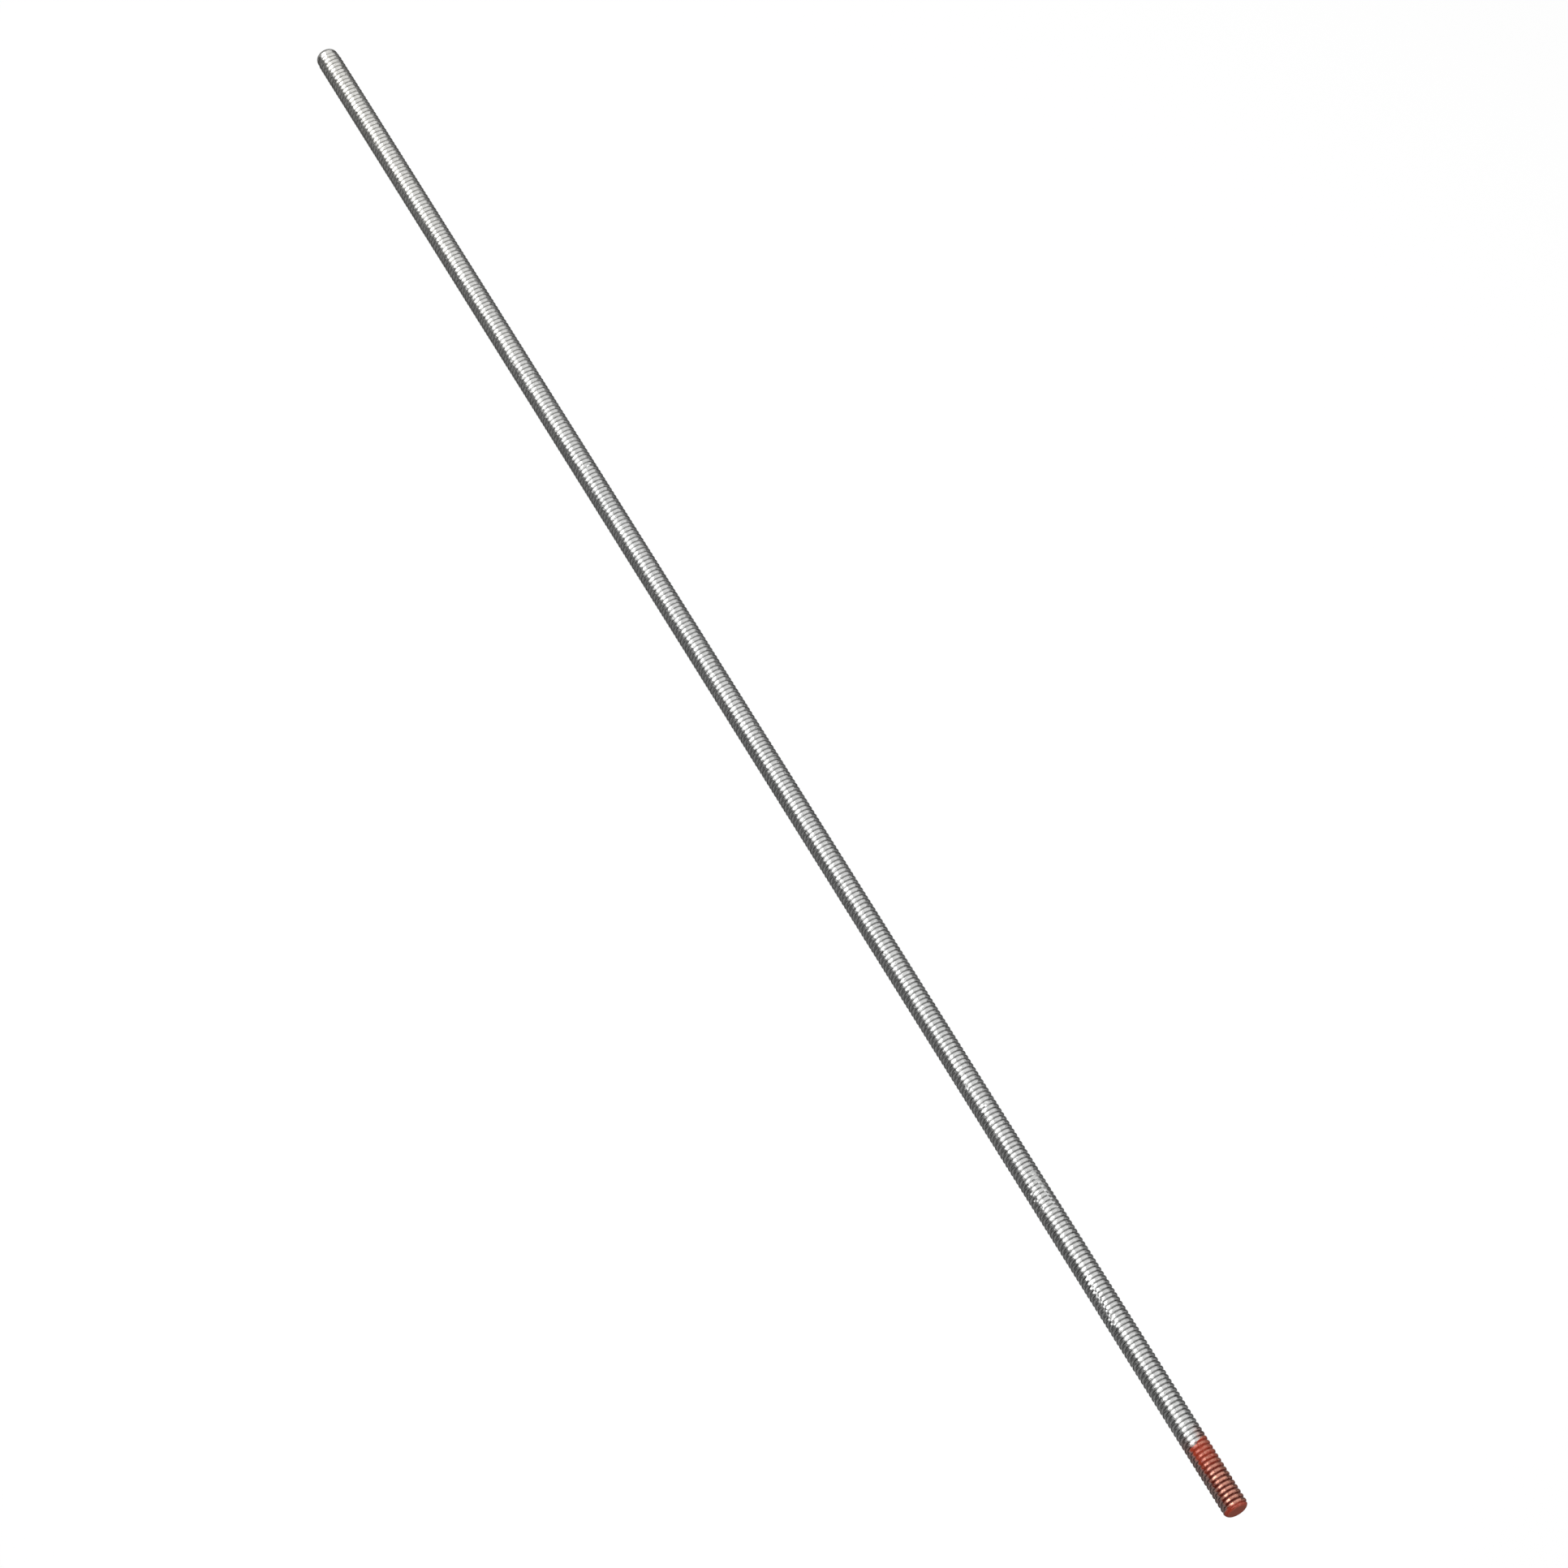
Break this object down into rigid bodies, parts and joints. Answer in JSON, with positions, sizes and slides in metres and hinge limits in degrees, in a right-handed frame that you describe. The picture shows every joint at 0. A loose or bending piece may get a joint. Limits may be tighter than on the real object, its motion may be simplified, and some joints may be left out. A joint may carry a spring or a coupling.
{
  "type": "threaded rod",
  "caption": "Slim straight steel rod with a fine right-hand thread from end to end, chamfered ends and red paint on one end.",
  "frame": {"origin": "middle of the rod, on its axis", "axes": "+X along the rod towards its painted end; the rod is round, so +Y and +Z are any two directions across it"},
  "size_m": [0.3048, 0.004, 0.004],
  "materials": {
    "stainless_steel": "bright rolled thread, with red paint on the last turns at +X"
  },
  "bodies": {
    "root": {"threaded_rod": "stainless_steel"}
  },
  "joints": []
}
